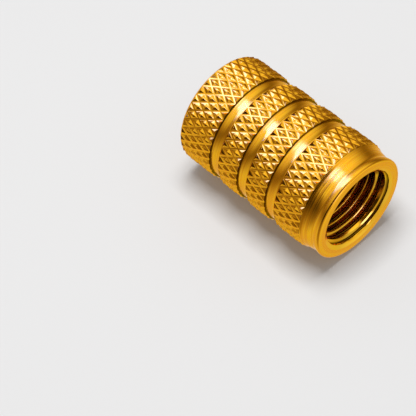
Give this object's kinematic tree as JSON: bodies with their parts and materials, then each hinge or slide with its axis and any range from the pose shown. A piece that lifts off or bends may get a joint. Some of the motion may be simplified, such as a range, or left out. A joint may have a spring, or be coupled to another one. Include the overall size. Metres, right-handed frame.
{
  "type": "tyre valve cap",
  "caption": "Turned gold-coloured metal cap for a tyre valve, knurled in bands between plain grooves, with a plain collar, a threaded mouth and a rubber sealing washer inside.",
  "frame": {"origin": "centre of the mouth's rim, which the cap stands on", "axes": "+Z along the cap's axis, from the mouth to the closed end; X and Y lie across it"},
  "size_m": [0.0108, 0.0108, 0.017],
  "materials": {
    "gold_metal": "bright gold anodised, turned",
    "seal_rubber": "moulded black rubber"
  },
  "bodies": {
    "root": {"valve_cap": "gold_metal", "sealing_washer": "seal_rubber"}
  },
  "joints": []
}
